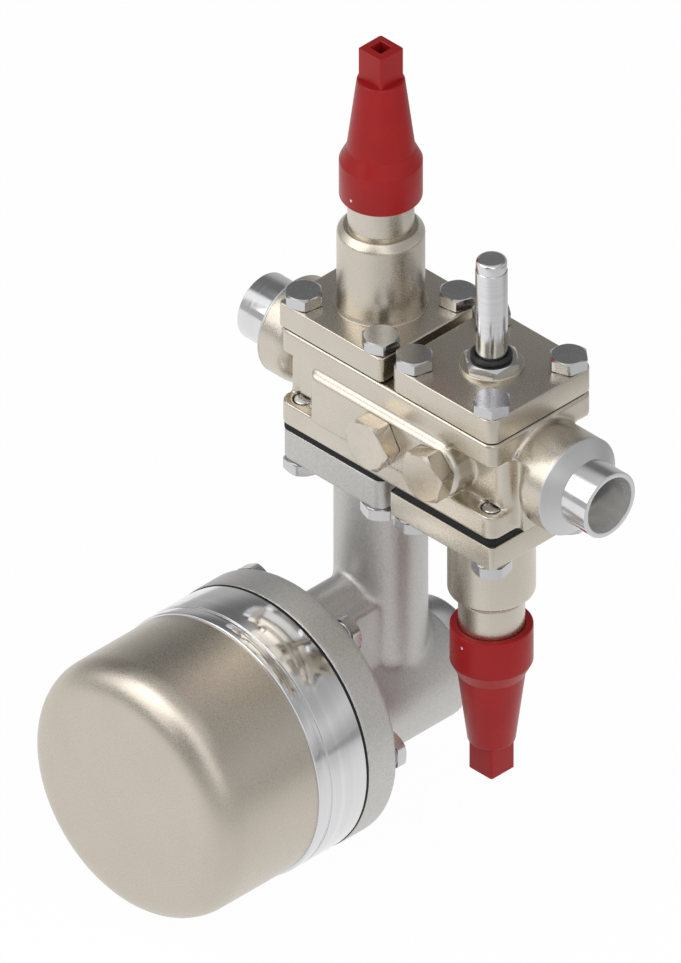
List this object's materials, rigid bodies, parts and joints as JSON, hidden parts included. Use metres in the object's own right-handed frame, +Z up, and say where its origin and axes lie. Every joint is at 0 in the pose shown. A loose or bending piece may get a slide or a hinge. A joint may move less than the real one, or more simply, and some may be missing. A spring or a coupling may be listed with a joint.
{
  "type": "valve station",
  "caption": "Four-port refrigeration valve station with weld ends: two capped stop valves, a solenoid valve without its coil and a float drain valve with a round can.",
  "frame": {"origin": "centre of the inlet's weld end face, on the pipe axis", "axes": "+X along the flow from inlet to outlet, +Z up along the solenoid's armature tube, -Y to the front with the port plugs and the float can"},
  "size_m": [0.229, 0.2141, 0.4129],
  "materials": {
    "cast_nickel": "fine cast grain, satin warm nickel plating",
    "float_cast": "sandblasted silver grey",
    "can_steel": "satin warm nickel plating",
    "turned_steel": "turned",
    "polished_steel": "polished",
    "zinc_bolts": "bright zinc",
    "red_cap": "gloss red",
    "gasket_sheet": "matt black fibre sheet",
    "black_rubber": "matt black",
    "packing_ring": "white",
    "spring_steel": "drawn wire",
    "brass": "turned"
  },
  "bodies": {
    "station": {"housing": "cast_nickel", "solenoid_gasket": "gasket_sheet", "solenoid_cover": "cast_nickel", "solenoid_bolts": "zinc_bolts", "armature_tube": "polished_steel", "tube_nut": "polished_steel", "tube_ring": "black_rubber", "plunger_spring": "spring_steel", "pilot_seat": "brass", "piston_spring": "spring_steel", "cylinder_liner": "turned_steel", "main_seat": "turned_steel", "float_gasket": "gasket_sheet", "float_bolts": "zinc_bolts", "float_casting": "float_cast", "can_gasket": "gasket_sheet", "flange_ring": "polished_steel", "float_can": "can_steel", "can_bolts": "zinc_bolts", "pivot_pin": "turned_steel", "float_bracket": "turned_steel", "bracket_screws": "zinc_bolts", "orifice_seat": "turned_steel", "barrel_plug": "zinc_bolts", "barrel_plug_seal": "gasket_sheet", "left_port_plug": "zinc_bolts", "left_port_seal": "turned_steel", "right_port_plug": "zinc_bolts", "right_port_seal": "turned_steel", "inlet_stop_gasket": "gasket_sheet", "inlet_stop_bonnet": "cast_nickel", "inlet_stop_bolts": "zinc_bolts", "inlet_stop_packing": "packing_ring", "inlet_stop_gland_nut": "turned_steel", "inlet_stop_cap_gasket": "gasket_sheet", "outlet_stop_gasket": "gasket_sheet", "outlet_stop_bonnet": "cast_nickel", "outlet_stop_bolts": "zinc_bolts", "outlet_stop_packing": "packing_ring", "outlet_stop_gland_nut": "turned_steel", "outlet_stop_cap_gasket": "gasket_sheet"},
    "float": {"float_ball": "turned_steel", "float_arm": "turned_steel"},
    "needle": {"needle": "turned_steel"},
    "plunger": {"plunger": "turned_steel"},
    "piston": {"servo_piston": "turned_steel", "piston_ring": "packing_ring", "piston_seal": "packing_ring"},
    "inlet_cone": {"inlet_stop_cone": "turned_steel", "inlet_stop_cone_seal": "packing_ring"},
    "inlet_spindle": {"inlet_stop_spindle": "turned_steel", "inlet_stop_cone_clip": "spring_steel"},
    "inlet_cap": {"inlet_stop_cap": "red_cap"},
    "outlet_cone": {"outlet_stop_cone": "turned_steel", "outlet_stop_cone_seal": "packing_ring"},
    "outlet_spindle": {"outlet_stop_spindle": "turned_steel", "outlet_stop_cone_clip": "spring_steel"},
    "outlet_cap": {"outlet_stop_cap": "red_cap"}
  },
  "joints": [
    {"name": "inlet_lift", "type": "slide", "parent": "station", "child": "inlet_cone", "axis": [0, 0, 1], "range_m": [0, 0.009]},
    {"name": "inlet_turn", "type": "hinge", "parent": "inlet_cone", "child": "inlet_spindle", "pos_m": [0.078, 0, 0.0282], "axis": [0, 0, 1], "range_deg": [0, 1080]},
    {"name": "inlet_cap_off", "type": "slide", "parent": "station", "child": "inlet_cap", "axis": [0, 0, 1], "range_m": [0, 0.09]},
    {"name": "outlet_lift", "type": "slide", "parent": "station", "child": "outlet_cone", "axis": [0, 0, -1], "range_m": [0, 0.009]},
    {"name": "outlet_turn", "type": "hinge", "parent": "outlet_cone", "child": "outlet_spindle", "pos_m": [0.151, 0, -0.0307], "axis": [0, 0, -1], "range_deg": [0, 1080]},
    {"name": "outlet_cap_off", "type": "slide", "parent": "station", "child": "outlet_cap", "axis": [0, 0, -1], "range_m": [0, 0.09]},
    {"name": "plunger_lift", "type": "slide", "parent": "station", "child": "plunger", "axis": [0, 0, 1], "range_m": [0, 0.003], "stiffness_N_per_m": 300, "springref_m": -0.003, "deforming": ["plunger_spring"]},
    {"name": "piston_lift", "type": "slide", "parent": "station", "child": "piston", "axis": [0, 0, 1], "range_m": [0, 0.005], "stiffness_N_per_m": 400, "springref_m": -0.003, "deforming": ["piston_spring"]},
    {"name": "float_swing", "type": "hinge", "parent": "station", "child": "float", "pos_m": [0.078, -0.086, -0.162], "axis": [-1, 0, 0], "range_deg": [0, 25]},
    {"name": "needle_draw", "type": "slide", "parent": "station", "child": "needle", "axis": [0, -1, 0], "range_m": [0, 0.0063]}
  ],
  "couplings": [
    {"joint": "inlet_turn", "follows": "inlet_lift", "rad_per_m": 2094.4},
    {"joint": "outlet_turn", "follows": "outlet_lift", "rad_per_m": 2094.4},
    {"joint": "needle_draw", "follows": "float_swing", "m_per_rad": 0.0142}
  ]
}
